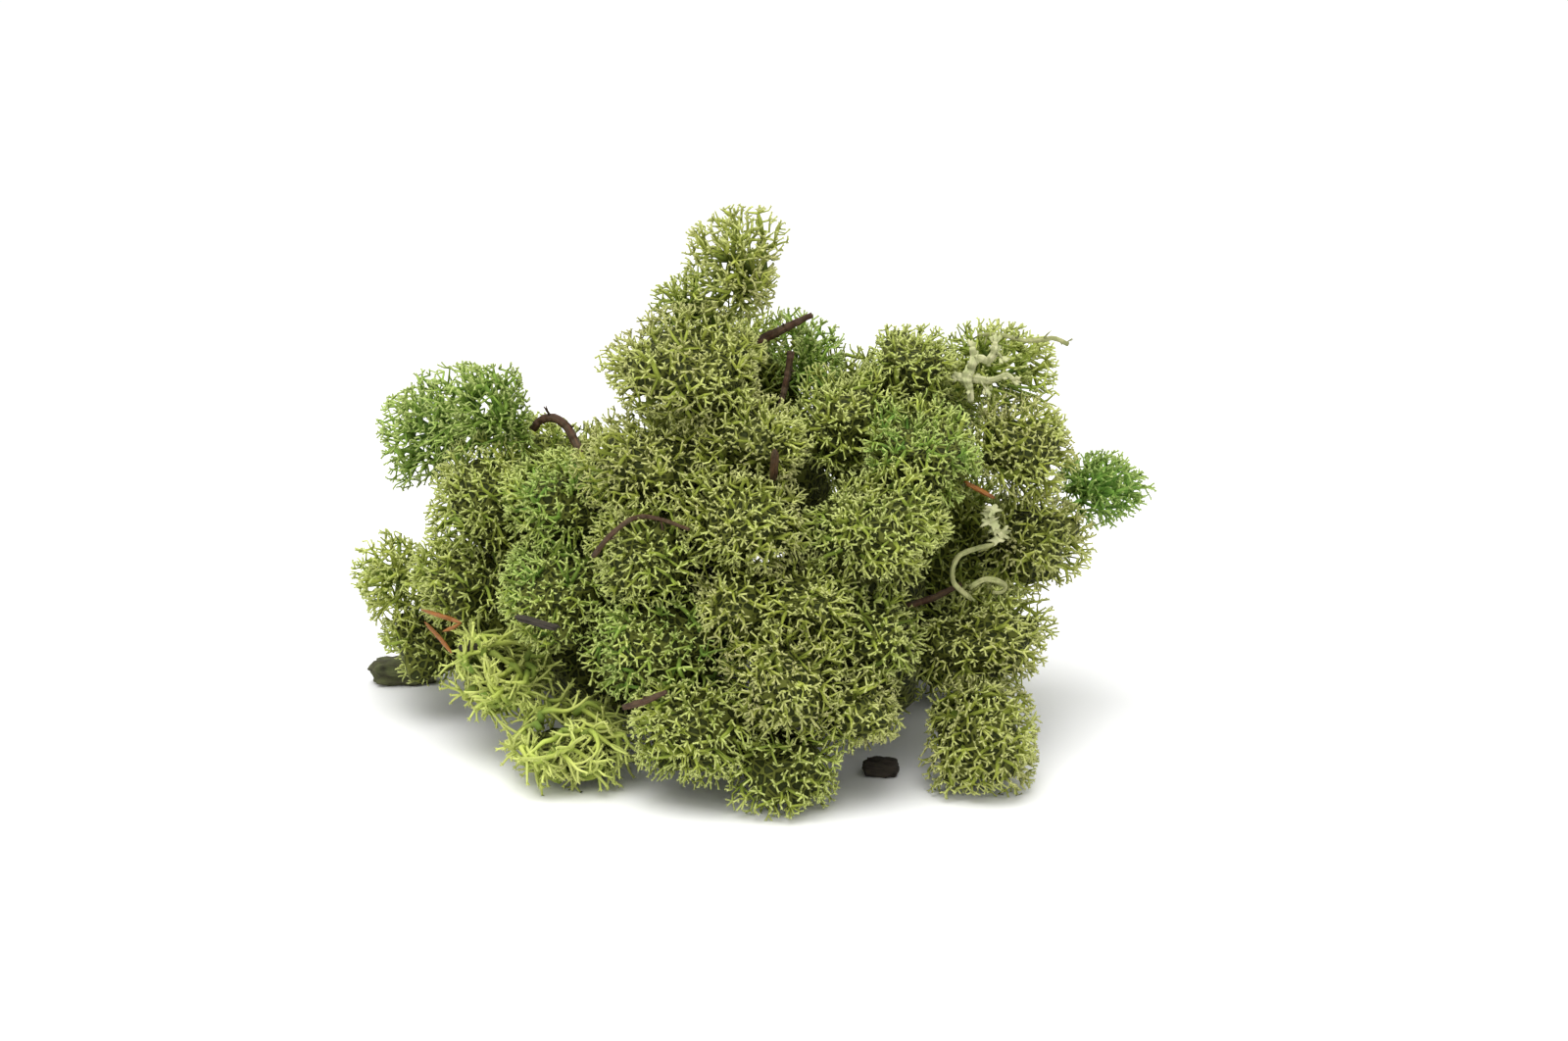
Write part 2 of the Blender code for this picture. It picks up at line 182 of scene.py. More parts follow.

# Colours of the lichen: the youngest ends, the stems and the oldest growth; the oldest, darkest colour is
# partly its own and partly painted shade deep in the tufts. A piece's growth colours hold age, dust, dye and
# tone instead of red, green, blue and alpha; a low tone paints shade.
LICHEN_COLOURS = {
    "lichen_sage": ((0.54, 0.59, 0.2), (0.34, 0.38, 0.055), (0.06, 0.08, 0.006)),
    "lichen_green": ((0.42, 0.51, 0.16), (0.24, 0.35, 0.05), (0.045, 0.08, 0.006)),
    "lichen_gold": ((0.52, 0.57, 0.15), (0.42, 0.47, 0.09), (0.12, 0.15, 0.02)),
}
AGE_STOPS = (0.05, 0.38, 0.85)
DUST = (0.33, 0.3, 0.15)
DYE = (0.13, 0.28, 0.045)
PATCH_SCALE = 130
PATCH_LIMITS = (0.34, 0.66)
PATCH_STRENGTHS = (0.25, 1.75)
NET_SCALE = 650
NET_LIMITS = (0.24, 0.06)
NET_YOUTH = 0.5
NET_HEIGHT = 0.5
OLDEST_AGE = 0.98
TONE_RANGE = (0.5, 1)
# Lightness from the tone: random on the branches; its low end, on the dark core, is painted shade
TONE_AND_SHADE_LIGHTNESS = (0.36, 1.33)
# The tone of the back tufts' dark cores, a lighter painted shade than on the other cores
BACK_CORE_SHADE_TONE = 0.35

# Tufts that are dustier or more dyed than the others, and the dust and dye of each kind
DUSTY_TUFTS = (
    "tuft_crown", "tuft_high_head", "tuft_chest_left", "tuft_collar", "tuft_chest", "tuft_belly_mid",
    "tuft_belly_right", "tuft_front_top", "tuft_front_right", "tuft_head_right", "tuft_foot_right",
    "tuft_flank_right", "tuft_hip_right",
)
DYED_TUFTS = ("tuft_flank_left", "tuft_belly_left", "tuft_brow_left", "tuft_cheek_right", "tuft_far_right")
DUSTY_TONES = (0.5, 0.08)
DYED_TONES = (0.05, 0.5)
OTHER_TONES = (0.2, 0.2)
DUSTY_DEPTH = 0.5
DYED_TIPS = 0.45
UNDYED_AGE = 0.95

# Litter, in millimetres. A stick's points have its radius there as a fourth number. A stick whose
# name ends in _back is a second stick of the piece that is named before it.
STICKS = {
    "twig_slanted": ((1.0, 4.3, 67.2, 0.85), (5.7, 5.8, 69.2, 0.75), (10.8, 7.3, 71.4, 0.5)),
    "twig_upright": ((7.2, 6.3, 65.2, 0.65), (6.5, 3.8, 61.0, 0.6), (5.3, 0.8, 56.7, 0.45)),
    "root_arch": (
        (-37.4, 12.3, 50.0, 0.7), (-36.0, 12.3, 51.6, 0.75), (-33.6, 11.3, 52.3, 0.8),
        (-31.4, 10.3, 51.0, 0.8), (-29.8, 8.3, 48.8, 0.75), (-28.5, 6.3, 46.6, 0.6)),
    "twig_centre": (
        (-25.0, -28.7, 39.4, 0.45), (-22.0, -31.7, 43.8, 0.45), (-18.2, -30.2, 46.3, 0.4),
        (-14.1, -29.2, 45.8, 0.35), (-9.3, -34.2, 45.5, 0.3)),
    "needle_fork": ((-55.3, -10.7, 24.7, 0.3), (-51.7, -12.7, 24.2, 0.38), (-48.1, -13.5, 23.2, 0.42)),
    "needle_fork_back": ((-48.1, -13.5, 23.2, 0.42), (-49.6, -13.3, 22.3, 0.38), (-51.5, -12.3, 21.3, 0.3)),
    "needle_single": ((-55.0, -7.2, 21.4, 0.3), (-52.2, -10.9, 19.8, 0.38), (-49.8, -14.2, 18.0, 0.34)),
    "dry_stem": (
        (38.8, 4.3, 68.6, 0.3), (42.3, 3.8, 68.8, 0.35), (46.3, 3.8, 67.8, 0.35),
        (49.3, 4.3, 67.7, 0.4), (51.6, 4.8, 67.9, 0.4), (54.2, 5.3, 66.8, 0.4)),
    "strap_stem": (
        (40.8, -14.2, 37.0, 0.7), (37.8, -17.7, 37.4, 0.75), (35.0, -19.7, 36.8, 0.85),
        (33.9, -20.7, 35.0, 0.9), (34.0, -20.7, 32.7, 0.85), (35.2, -20.2, 31.0, 0.8),
        (37.1, -19.2, 29.2, 0.7)),
    "strap_stem_back": (
        (36.8, -19.8, 31.4, 0.45), (39.2, -19.8, 32.7, 0.5), (41.4, -19.0, 32.2, 0.55),
        (42.8, -18.0, 31.0, 0.5), (42.2, -18.2, 30.0, 0.4), (40.6, -18.8, 30.2, 0.3)),
    "twig_hollow": ((26.4, -18.7, 27.8, 0.5), (31.0, -16.0, 28.4, 0.6), (35.6, -12.7, 29.7, 0.4)),
    "twig_low": ((-19.8, -42.7, 18.2, 0.5), (-16.5, -43.6, 19.5, 0.6), (-12.8, -44.7, 21.5, 0.4)),
}
STICK_STEP = 0.45
STICK_SIDES = 10
STICK_ROUGHNESS = 0.22
NEEDLE_POINT = 1.6
STRAP_FLATNESS = 0.5

# How far around litter, and before it on the way to the camera, no tip stands
CLEAR_STEP = 1.0
CLEAR_BESIDE = 0.35
CLEAR_AHEAD = 5
CLEAR_CHIP_WIDTHS = 8

# The short side twigs of a stick: where along it, the way each goes, its length and radius
SIDE_TWIGS = {
    "root_arch": ((0.3, (-0.5, -0.3, 0.9), 2.6, 0.28), (0.62, (0.6, -0.2, 0.8), 1.6, 0.22)),
    "twig_centre": ((0.22, (0.9, -0.2, 0.3), 2.2, 0.2), (0.7, (0.2, -0.6, -0.9), 2.0, 0.18)),
    "twig_slanted": ((0.5, (0.2, -0.5, 0.9), 1.4, 0.22),),
    "twig_upright": ((0.4, (0.8, -0.4, 0.4), 1.6, 0.2),),
    "dry_stem": (
        (0.12, (-0.2, -0.3, -1.0), 1.8, 0.2), (0.42, (0.5, -0.4, 0.9), 1.7, 0.2),
        (0.72, (0.7, -0.3, 0.9), 2.0, 0.2), (0.86, (0.8, 0.2, -0.8), 1.6, 0.18),
        (0.97, (0.9, -0.2, 0.7), 1.5, 0.18)),
    "strap_stem": ((0.97, (0.8, -0.3, -0.6), 1.6, 0.25),),
    "twig_low": ((0.5, (0.1, -0.5, 0.9), 1.2, 0.2),),
}
SIDE_TWIG_SIDES = 6

# Chips: the two ends of the long axis, half width and half thickness
CHIPS = {
    "bark_sliver": ((-37.9, -28.7, 29.1), (-30.4, -32.1, 28.0), 0.9, 0.55),
    "bark_rear": ((-68.3, 24.3, 2.2), (-55.8, 25.8, 1.9), 3.6, 2.4),
    "bark_floor": ((19.0, -23.7, 1.5), (25.4, -24.7, 1.3), 2.1, 1.5),
    "sliver_dark": ((4.6, -28.7, 57.4), (4.3, -24.7, 51.0), 0.7, 0.4),
    "chip_orange": ((36.0, -14.7, 48.0), (41.1, -12.7, 44.7), 0.9, 0.45),
    "crumb_black": ((-48.4, -17.2, 20.6), (-45.4, -16.2, 19.4), 1.3, 1.0),
}
CHIP_ROUGHNESS = 0.5

# The antler-like fragment: paths across and up from its middle, with the radius
ANTLER_MIDDLE = (37.8, -0.5, 63.0)
ANTLER_PATHS = (
    ((-0.2, -5.0, 0.5), (-0.5, -2.6, 0.65), (-1.0, -0.9, 0.9), (-0.2, 1.4, 0.85),
     (1.0, 2.8, 0.75), (2.7, 2.2, 0.65), (4.0, 3.6, 0.55), (4.8, 2.8, 0.4)),
    ((-0.3, 1.0, 0.7), (0.1, 3.0, 0.7), (-0.2, 4.7, 0.5)),
    ((2.5, 2.2, 0.6), (3.5, 4.1, 0.55), (3.7, 5.6, 0.4)),
    ((-0.9, -0.8, 0.7), (1.3, -1.0, 0.75), (3.5, -1.0, 0.6), (5.6, -0.2, 0.5), (7.0, -1.0, 0.4)),
    ((1.4, -1.0, 0.5), (1.9, -2.0, 0.45), (2.4, -2.6, 0.35)),
    ((-0.8, -0.8, 0.8), (-1.8, -0.7, 0.9), (-2.6, -0.7, 0.7)),
)
ANTLER_FACING = (0, -1, 0.3)
ANTLER_FLATNESS = 0.4
ANTLER_LOBE_HALF_WIDTH = 0.5

# The frilled fragment and the thin lobes of both
FRILL_START = (40.0, -14.8, 43.4)
FRILL_END = (42.2, -14.0, 38.0)
FRILL_FACING = (0.1, -1, 0.4)
FRILL_LOBES = 10
FRILL_LOBE_HALF_WIDTH = 0.9
LOBE_THICKNESS = 0.22
LOBE_FRILL = 0.3

# Litter materials: dark and light streaks, growth on them and its amount, streak scale, relief, roughness
LITTER_LOOKS = {
    "bark_dark": ((0.012, 0.01, 0.008), (0.05, 0.037, 0.03), (0.07, 0.065, 0.035), 0.15, 2.2, 0.8, 0.8),
    "bark_mossy": ((0.016, 0.014, 0.01), (0.085, 0.075, 0.045), (0.12, 0.14, 0.05), 0.4, 1.2, 0.8, 0.85),
    "twig_brown": ((0.014, 0.006, 0.004), (0.1, 0.04, 0.018), (0.16, 0.15, 0.07), 0.12, 1.6, 0.7, 0.65),
    "needle_orange": ((0.15, 0.045, 0.01), (0.42, 0.16, 0.03), (0.2, 0.12, 0.05), 0.15, 1.3, 0.4, 0.45),
    "lichen_pale": ((0.4, 0.42, 0.2), (0.68, 0.64, 0.4), (0.32, 0.38, 0.14), 0.3, 1.0, 0.5, 0.7),
    "stem_green": ((0.13, 0.16, 0.04), (0.4, 0.42, 0.17), (0.45, 0.42, 0.22), 0.25, 1.4, 0.6, 0.7),
}
GRAIN_STRETCH = 0.18
GRAIN_HEIGHT = 0.2
GRAIN_LIMITS = (0.32, 0.68)
LITTER_PATCH_SCALE = 600

# The look of each kind of litter, which is the first word of its name, and of one piece by its full name
LITTER_KINDS = {
    "twig": "twig_brown", "root": "twig_brown", "sliver": "twig_brown", "needle": "needle_orange",
    "chip": "needle_orange", "dry": "stem_green", "strap": "stem_green", "antler": "lichen_pale",
    "frill": "lichen_pale", "bark": "bark_dark", "crumb": "bark_dark", "bark_rear": "bark_mossy",
}


def add_node(tree, kind, inputs=None, **settings):
    """A new shader node with its settings. Each input is another node's output or a constant."""
    node = tree.nodes.new("ShaderNode" + kind)
    for setting, value in settings.items():
        setattr(node, setting, value)
    set_inputs(tree, node, inputs or {})
    return node.outputs


def set_inputs(tree, node, inputs):
    """Link or set a node's inputs."""
    for socket, value in inputs.items():
        if isinstance(value, bpy.types.NodeSocket):
            tree.links.new(value, node.inputs[socket])
        else:
            node.inputs[socket].default_value = value


def map_range(tree, value, limits, results=(0, 1), **settings):
    """A value moved from one range to another, and kept inside it."""
    sockets = ("From Min", "From Max", "To Min", "To Max")
    inputs = {"Value": value, **dict(zip(sockets, (*limits, *results)))}
    return add_node(tree, "MapRange", inputs, **settings)["Result"]


def new_group(name, inputs, outputs):
    """A new shader node group, with what it is given and the node that takes what it gives back."""
    group = bpy.data.node_groups.new(name, "ShaderNodeTree")
    for socket in inputs:
        group.interface.new_socket(socket, in_out="INPUT", socket_type="NodeSocketFloat")
    for socket in outputs:
        group.interface.new_socket(socket, in_out="OUTPUT", socket_type="NodeSocketFloat")
    given = group.nodes.new("NodeGroupInput")
    return group, given.outputs, group.nodes.new("NodeGroupOutput")


def patch_group():
    """A mask that breaks an amount up into soft patches, so that no tuft is coloured evenly."""
    group, given, result = new_group("patches", ("Amount", "Scale", "Variant"), ("Mask",))
    place = add_node(group, "TexCoord")["Object"]
    settings = {"Vector": place, "Scale": given["Scale"], "W": given["Variant"], "Detail": 2}
    clouds = add_node(group, "TexNoise", settings, noise_dimensions="4D")["Fac"]
    spread = map_range(group, clouds, PATCH_LIMITS, PATCH_STRENGTHS)
    factors = {0: given["Amount"], 1: spread}
    mask = add_node(group, "Math", factors, operation="MULTIPLY", use_clamp=True)["Value"]
    set_inputs(group, result, {"Mask": mask})
    return group


def net_group():
    """A net of close branches on the oldest growth, which is mostly the dark core of painted shade, as
    lighter age and as height.
    """
    group, given, result = new_group("net", ("Age",), ("Age", "Height"))
    place = add_node(group, "TexCoord")["Object"]
    settings = {"Vector": place, "Scale": NET_SCALE}
    edges = add_node(group, "TexVoronoi", settings, feature="DISTANCE_TO_EDGE")["Distance"]
    lines = map_range(group, edges, NET_LIMITS, interpolation_type="SMOOTHSTEP")
    oldest = add_node(group, "Math", {0: given["Age"], 1: OLDEST_AGE}, operation="GREATER_THAN")["Value"]
    height = add_node(group, "Math", {0: lines, 1: oldest}, operation="MULTIPLY")["Value"]
    terms = {0: height, 1: -NET_YOUTH, 2: given["Age"]}
    younger = add_node(group, "Math", terms, operation="MULTIPLY_ADD")["Value"]
    set_inputs(group, result, {"Age": younger, "Height": height})
    return group


def grain_group():
    """Streaks that run along a piece of litter."""
    group, given, result = new_group("grain", ("Scale",), ("Mask",))
    along = add_node(group, "Attribute", attribute_name="grain")["Vector"]
    settings = {"Vector": along, "Scale": given["Scale"], "Detail": 5, "Roughness": 0.65}
    streaks = add_node(group, "TexNoise", settings)["Fac"]
    set_inputs(group, result, {"Mask": map_range(group, streaks, GRAIN_LIMITS)})
    return group


def new_material(name):
    """A new material with its node tree and its Principled shader."""
    material = bpy.data.materials.new(name)
    material.use_nodes = True
    return material, material.node_tree, material.node_tree.nodes["Principled BSDF"]


def lichen_material(name, patches, net):
    """Pale branch ends over darker stems, with dust and dye where the piece's growth colours say so, and
    painted shade where their tone is low on the dark core.
    """
    material, tree, shader = new_material(name)
    growth = add_node(tree, "Attribute", attribute_name="growth")
    parts = add_node(tree, "SeparateColor", {"Color": growth["Color"]})
    lines = add_node(tree, "Group", {"Age": parts["Red"]}, node_tree=net)
    relief = add_node(tree, "Bump", {"Distance": NET_HEIGHT * MM, "Height": lines["Height"]})
    ramp = tree.nodes.new("ShaderNodeValToRGB")
    ramp.color_ramp.elements.new(AGE_STOPS[1])
    for stop, position, paint in zip(ramp.color_ramp.elements, AGE_STOPS, LICHEN_COLOURS[name]):
        stop.position = position
        stop.color = (*paint, 1)
    tree.links.new(lines["Age"], ramp.inputs["Fac"])
    colour = ramp.outputs["Color"]
    for channel, variant, paint in (("Blue", 3, DYE), ("Green", 8, DUST)):
        settings = {"Amount": parts[channel], "Scale": PATCH_SCALE, "Variant": variant}
        mask = add_node(tree, "Group", settings, node_tree=patches)["Mask"]
        colour = mixed(tree, mask, colour, (*paint, 1))
    # Tone: random lightness of the branches, and painted shade on the dark core
    tone = map_range(tree, growth["Alpha"], (0, 1), TONE_AND_SHADE_LIGHTNESS)
    toned_and_shaded = add_node(tree, "VectorMath", {"Vector": colour, "Scale": tone}, operation="SCALE")["Vector"]
    set_inputs(tree, shader, {
        "Base Color": toned_and_shaded, "Normal": relief["Normal"], "Roughness": 0.75, "Specular IOR Level": 0.2})
    return material


def mixed(tree, factor, first, second):
    """The first colour, and the second one as far as the factor says."""
    settings = {"Factor": factor, "A": first, "B": second}
    return add_node(tree, "Mix", settings, data_type="RGBA")["Result"]


def litter_material(name, patches, grain):
    """Streaks of two tones, with patches of dust or green growth over them."""
    dark, light, dust, dust_amount, scale, relief, roughness = LITTER_LOOKS[name]
    material, tree, shader = new_material(name)
    streaks = add_node(tree, "Group", {"Scale": scale}, node_tree=grain)["Mask"]
    settings = {"Amount": dust_amount, "Scale": LITTER_PATCH_SCALE, "Variant": 5}
    mask = add_node(tree, "Group", settings, node_tree=patches)["Mask"]
    bump = add_node(tree, "Bump", {"Strength": relief, "Distance": GRAIN_HEIGHT * MM, "Height": streaks})
    tones = mixed(tree, streaks, (*dark, 1), (*light, 1))
    set_inputs(tree, shader, {
        "Base Color": mixed(tree, mask, tones, (*dust, 1)), "Normal": bump["Normal"],
        "Roughness": roughness, "Specular IOR Level": 0.3})
    return material


def rounded_surface(node):
    """Corners, normals and triangles, in millimetres, of a rounded copy of a tuft's solid."""
    mesh = bmesh.new()
    mesh.from_mesh(node.data)
    bmesh.ops.remove_doubles(mesh, verts=mesh.verts, dist=1e-6)
    bmesh.ops.subdivide_edges(mesh, edges=mesh.edges, cuts=1, smooth=ROUNDING)
    bmesh.ops.triangulate(mesh, faces=mesh.faces)
    mesh.normal_update()
    mesh.verts.index_update()
    corners = np.array([v.co for v in mesh.verts]) / MM
    normals = np.array([v.normal for v in mesh.verts])
    faces = np.array([[v.index for v in face.verts] for face in mesh.faces])
    mesh.free()
    return corners, normals, faces


def scatter(surface, per_area, random):
    """Random points on a surface, with their normals."""
    corners, normals, faces = surface
    a, b, c = (corners[faces[:, k]] for k in range(3))
    areas = np.linalg.norm(np.cross(b - a, c - a), axis=1) / 2
    count = max(FEWEST_CANDIDATES, int(areas.sum() * per_area))
    chosen = faces[random.choice(len(faces), count, p=areas / areas.sum())]
    weights = random.dirichlet((1, 1, 1), count)[:, :, None]
    points = (corners[chosen] * weights).sum(axis=1)
    outward = (normals[chosen] * weights).sum(axis=1)
    return points, unit(outward)


def unit(vectors):
    """Vectors of length 1."""
    return vectors / np.maximum(np.linalg.norm(vectors, axis=-1, keepdims=True), 1e-9)


def search_tree(points):
    """A tree that finds the points near a place."""
    tree = KDTree(len(points))
    for index, point in enumerate(points):
        tree.insert(point, index)
    tree.balance()
    return tree


def thinned(points, spacing):
    """The points that stay when none may have another nearer than its own spacing."""
    tree = search_tree(points)
    free = [True] * len(points)
    kept = []
    for index, point in enumerate(points):
        if free[index]:
            kept.append(index)
            for _, near, _ in tree.find_range(point, spacing[index]):
                free[near] = False
    return np.array(kept)


def nearest(points, centres):
    """For each point, which centre is nearest."""
    tree = search_tree(centres)
    return np.array([tree.find(point)[1] for point in points])


def group_means(values, labels, count):
    """The mean of the values of each group."""
    totals = np.zeros((count, values.shape[1]))
    np.add.at(totals, labels, values)
    return totals / np.bincount(labels, minlength=count)[:, None]


def sky_shares(places, facing, solids, random):
    """For each place, the share of the directions above it that leave the heap."""
    sky = np.zeros(len(places))
    ways = unit(facing[:, None] * SKY_WIDTH + unit(random.normal(size=(len(places), SKY_RAYS, 3))))
    for index, place in enumerate(places):
        start = place + SKY_START * facing[index]
        for way in ways[index]:
            above_floor = way[2] * FLOOR_REACH + start[2] > 0
            if above_floor and solids.ray_cast(start, way, SKY_REACH)[0] is None:
                sky[index] += 1 / SKY_RAYS
    return sky


def open_sky(points, normals, solids, random):
    """For each point, how much sky it sees, or a place near it."""
    coarse = thinned(points, np.full(len(points), SKY_SPACING))
    places = points[coarse]
    sky = sky_shares(places, normals[coarse], solids, random)
    gaps = np.linalg.norm(places[:, None] - places[None], axis=2)
    spread = (sky[None] * np.maximum(1 - gaps / SKY_SPREAD, 0)).max(axis=1)
    return spread[nearest(points, places)]


def crevice_fill(points, normals, solids, random):
    """How far each tip grows out of its tuft's solid into a gap between tufts."""
    moves = np.zeros(points.shape)
    for index, (point, normal) in enumerate(zip(points, normals)):
        gap = solids.ray_cast(point + RAY_START * normal, normal, FILL_REACH)[3]
        if gap is not None:
            fading = min((FILL_REACH - gap) / (FILL_REACH - FILL_FULL), 1)
            moves[index] = normal * gap * fading * FILL_SHARE
    moves *= random.uniform(0.5, 1, (len(points), 1))
    return np.linalg.norm(moves, axis=1)


def uncovered(points):
    """Which points leave the litter in sight: none may touch it, or stand before it."""
    spots = []
    for stick in STICKS.values():
        for *place, radius in smooth_path(stick, CLEAR_STEP):
            spots.append((place, radius, CLEAR_AHEAD))
    for start, end, half_width, _ in CHIPS.values():
        for share in (0.1, 0.3, 0.5, 0.7, 0.9):
            place = np.array(start) * (1 - share) + np.array(end) * share
            spots.append((place, half_width, CLEAR_CHIP_WIDTHS * half_width + CLEAR_AHEAD))
    free = np.full(len(points), True)
    for place, radius, reach in spots:
        away = points - np.array(place)
        ahead = np.clip(away @ TO_CAMERA, 0, reach)
        gap = np.linalg.norm(away - ahead[:, None] * TO_CAMERA, axis=1)
        free &= gap > radius + CLEAR_BESIDE
    return free


def smooth_path(points, step):
    """Points on a smooth curve through the given ones, with their radii."""
    rows = np.array(points, float)
    padded = np.vstack([2 * rows[0] - rows[1], rows, 2 * rows[-1] - rows[-2]])
    path = []
    for before, start, end, after in zip(padded, padded[1:], padded[2:], padded[3:]):
        count = max(2, int(np.linalg.norm((end - start)[:3]) / step))
        for t in np.arange(count) / count:
            bend = (2 * before - 5 * start + 4 * end - after) * t ** 2
            twist = (3 * start - before - 3 * end + after) * t ** 3
            path.append((2 * start + (end - before) * t + bend + twist) / 2)
    path.append(rows[-1])
    return np.array(path)


def merging(points, own, middles, halves):
    """How far each tip grows out because other tufts are near, so that the heads run together."""
    away = points[:, None] - middles[None]
    level = np.linalg.norm(away / halves[None], axis=2)
    distance = np.linalg.norm(away, axis=2) * (1 - 1 / level)
    distance[:, own] = MERGE_REACH
    near = np.clip(MERGE_REACH - distance, 0, MERGE_REACH)
    return np.minimum((near ** 2).sum(axis=1) / (4 * MERGE_REACH), MOST_MERGE)


def tuft_tips(name, surface, solids, spacing, merge, random):
    """Where a tuft's stems end: close together in sight, and few where another tuft covers them."""
    points, normals = scatter(surface, CANDIDATES / spacing ** 2, random)
    sky = np.minimum(open_sky(points, normals, solids, random) / SKY_FOR_FULL, 1)
    share = BURIED_SHARE + (1 - BURIED_SHARE) * sky
    kept = thinned(points, spacing / np.sqrt(share))
    points, normals, share = points[kept], normals[kept], share[kept]
    pull = merge(points)
    holes, _ = scatter(surface, HOLES_PER_AREA, random)
    width = random.uniform(*HOLE_RADII, len(holes))
    clear = np.linalg.norm(points[:, None] - holes[None], axis=2) > width[None]
    shown = clear.all(axis=1) & uncovered(points + normals * pull[:, None])
    order = random.permutation(len(points))
    inside = order[thinned(points[order], (INNER_GAP * spacing / np.sqrt(share))[order])]
    bumps = np.array([noise.noise(Vector(point) / UNEVEN_WIDTH) for point in points])[:, None]
    push = np.maximum(crevice_fill(points, normals, solids, random), pull)
    swelling = (AIRY_SWELLING if name in AIRY_TUFTS else SWELLING) + UNEVENNESS * bumps
    grown = points + (normals * push[:, None] + swelling * normals)
    tips = grown[shown] - normals[shown] * np.abs(random.normal(0, TIP_JITTER, shown.sum()))[:, None]
    scatter_depth = random.uniform(-INNER_DEPTH_SCATTER, INNER_DEPTH_SCATTER, (len(inside), 1))
    inner = points[inside] + random.normal(0, INNER_SCATTER, (len(inside), 3))
    inner -= normals[inside] * (INNER_DEPTH + scatter_depth)
    outer = np.arange(len(tips) + len(inner)) < len(tips)
    return np.concatenate([tips, inner]), np.concatenate([normals[shown], normals[inside]]), outer


def grow(tips, normals, root, random):
    """The branches behind the tips, level by level: each level's parents, places and tip counts."""
    parents, shown, counts = [], [tips], [np.ones(len(tips))]
    facing = [normals]
    for reach in LEVEL_SPACINGS:
        points = shown[-1]
        if len(points) < 3:
            break
        order = random.permutation(len(points))
        centres = points[order][thinned(points[order], np.full(len(points), reach * LEVEL_SCALE))]
        labels = nearest(points, centres)
        used, labels = np.unique(labels, return_inverse=True)
        parents.append(labels)
        shown.append(group_means(points, labels, len(used)))
        facing.append(unit(group_means(facing[-1], labels, len(used))))
        counts.append(np.bincount(labels, weights=counts[-1], minlength=len(used)))
    parents.append(np.zeros(len(shown[-1]), int))
    ancestor = np.arange(len(tips))
    for level in range(min(FLORET_LEVEL, len(parents) - 1)):
        ancestor = parents[level][ancestor]
    floret = shown[min(FLORET_LEVEL, len(shown) - 1)][ancestor]
    width = LEVEL_SPACINGS[FLORET_LEVEL - 1] * LEVEL_SCALE
    away = np.linalg.norm(tips - floret, axis=1)
    stars = shown[1][parents[0]]
    dome = np.minimum(DOMING * away ** 2 / width, MOST_DOMING)
    places = [stars + (tips - stars) * GATHERING - normals * dome[:, None]]
    hearts = places[0]
    for level in range(1, len(shown)):
        hearts = group_means(hearts, parents[level - 1], len(shown[level]))
        to_root = root - hearts
        far = np.linalg.norm(to_root, axis=1, keepdims=True)
        inward = unit(to_root / np.maximum(far, 1e-6) - INWARD_PULL * facing[level])
        depth = np.minimum(LEVEL_DEPTHS[level - 1] * LEVEL_SCALE, MOST_DEPTH * far)
        jitter = random.normal(0, LEVEL_JITTER * LEVEL_SPACINGS[level - 1] * LEVEL_SCALE, hearts.shape)
        places.append(hearts + inward * depth + jitter * (far > JITTER_FREE_REACH))
    places.append(root[None])
    counts.append(np.array([counts[-1].sum()]))
    return parents, places, counts, ancestor


def sweep(points, values, sides, random):
    """Closed tapering branches along rows of points. Each point's values are its radius and growth colour,
    and the last point of a row is its sharp end."""
    rows, length, _ = points.shape
    radii, tones = values[:, :, 0], values[:, :, 1:]
    ahead = np.concatenate([points[:, 1:] - points[:, :-1], points[:, -1:] - points[:, -2:-1]], axis=1)
    along = unit(ahead)
    along[:, 1:-1] = unit(along[:, :-2] + along[:, 1:-1])
    chord = unit(points[:, -1] - points[:, 0])
    across = unit(np.cross(chord, unit(random.normal(size=(rows, 3)))))[:, None]
    first = unit(across - along * (across * along).sum(axis=2, keepdims=True))
    second = np.cross(along, first)
    turns = np.arange(sides) * 2 * math.pi / sides
    ring = (first[:, :-1, None] * np.cos(turns)[:, None] + second[:, :-1, None] * np.sin(turns)[:, None])
    rings = points[:, :-1, None] + ring * radii[:, :-1, None, None]
    corners = np.concatenate([rings.reshape(rows, -1, 3), points[:, -1:]], axis=1)
    colours = np.concatenate([np.repeat(tones[:, :-1], sides, axis=1), tones[:, -1:]], axis=1)
    faces = [(0, k + 1, k) for k in range(1, sides - 1)]
    for start in range(0, (length - 2) * sides, sides):
        for k in range(sides):
            a, b = start + k, start + (k + 1) % sides
            faces += [(a, b, b + sides), (a, b + sides, a + sides)]
    end = (length - 2) * sides
    faces += [(end + k, end + (k + 1) % sides, end + sides) for k in range(sides)]
    offsets = np.arange(rows)[:, None, None] * corners.shape[1]
    return corners.reshape(-1, 3), (np.array(faces)[None] + offsets).reshape(-1, 3), colours.reshape(-1, 4)


def with_middles(points, values, first):
    """Rows of points with one more on the curve between each two up to the column named."""
    last = points.shape[1] - 1
    columns, extra = [points[:, 0]], [values[:, 0]]
    for k in range(last):
        start, end = points[:, k], points[:, k + 1]
        if k < first:
            columns.append((9 * (start + end) - points[:, max(k - 1, 0)] - points[:, min(k + 2, last)]) / 16)
            extra.append((values[:, k] + values[:, k + 1]) / 2)
        columns.append(end)
        extra.append(values[:, k + 1])
    return np.stack(columns, axis=1), np.stack(extra, axis=1)


